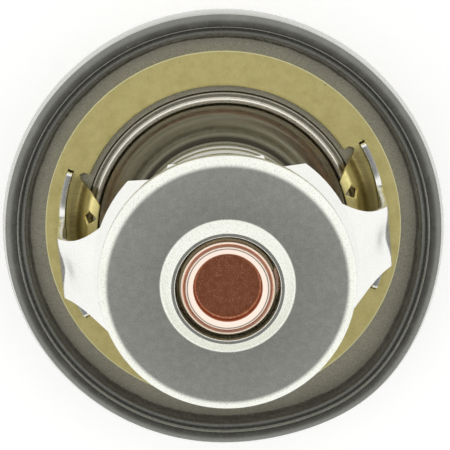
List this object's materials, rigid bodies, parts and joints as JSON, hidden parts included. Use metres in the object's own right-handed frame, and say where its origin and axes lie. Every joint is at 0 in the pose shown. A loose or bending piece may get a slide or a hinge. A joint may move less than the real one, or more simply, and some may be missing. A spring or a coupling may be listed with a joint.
{
  "type": "engine thermostat",
  "caption": "Wax-element engine thermostat with a rubber edge seal, conical valve seat, pressed frame and spring-loaded bypass disc.",
  "frame": {"origin": "on the valve axis, level with the brass ring's face on the engine side", "axes": "+Z along the valve axis into the engine, +X along the frame's two legs"},
  "size_m": [0.0676, 0.0676, 0.0608],
  "materials": {
    "seal_rubber": "satin",
    "flange_steel": "matte",
    "ring_brass": "satin",
    "bridge_brass": "satin",
    "cup_brass": "satin",
    "piston_steel": "polished",
    "washer_plastic": "matte",
    "plunger_rubber": "matte",
    "frame_steel": "satin",
    "spring_steel": "satin",
    "element_copper": "satin",
    "wax": "matte",
    "diaphragm_rubber": "matte",
    "guide_brass": "satin",
    "plate_brass": "satin",
    "spring_seat_steel": "satin",
    "clip_steel": "satin",
    "bypass_spring_steel": "satin",
    "disc_steel": "satin"
  },
  "bodies": {
    "flange_body": {"rubber_seal": "seal_rubber", "mounting_flange": "flange_steel", "brass_retainer_ring": "ring_brass", "seat_bridge": "bridge_brass", "piston_seat_cup": "cup_brass", "piston": "piston_steel", "chafe_washer": "washer_plastic", "rubber_plunger": "plunger_rubber", "lower_frame": "frame_steel", "main_spring": "spring_steel"},
    "thermal_element": {"wax_cup": "element_copper", "wax_charge": "wax", "diaphragm": "diaphragm_rubber", "element_guide": "guide_brass", "main_valve_plate": "plate_brass", "bypass_spring_seat": "spring_seat_steel", "spring_seat_clip": "clip_steel", "disc_retaining_clip": "clip_steel", "bypass_spring": "bypass_spring_steel"},
    "bypass_valve": {"bypass_disc": "disc_steel"}
  },
  "joints": [
    {"name": "valve_lift", "type": "slide", "parent": "flange_body", "child": "thermal_element", "axis": [0, 0, 1], "range_m": [0, 0.0085], "stiffness_N_per_m": 9000, "springref_m": -0.004, "deforming": ["main_spring"]},
    {"name": "bypass_disc_travel", "type": "slide", "parent": "thermal_element", "child": "bypass_valve", "axis": [0, 0, 1], "range_m": [-0.0035, 0], "stiffness_N_per_m": 1500, "springref_m": 0.003, "deforming": ["bypass_spring"]}
  ]
}
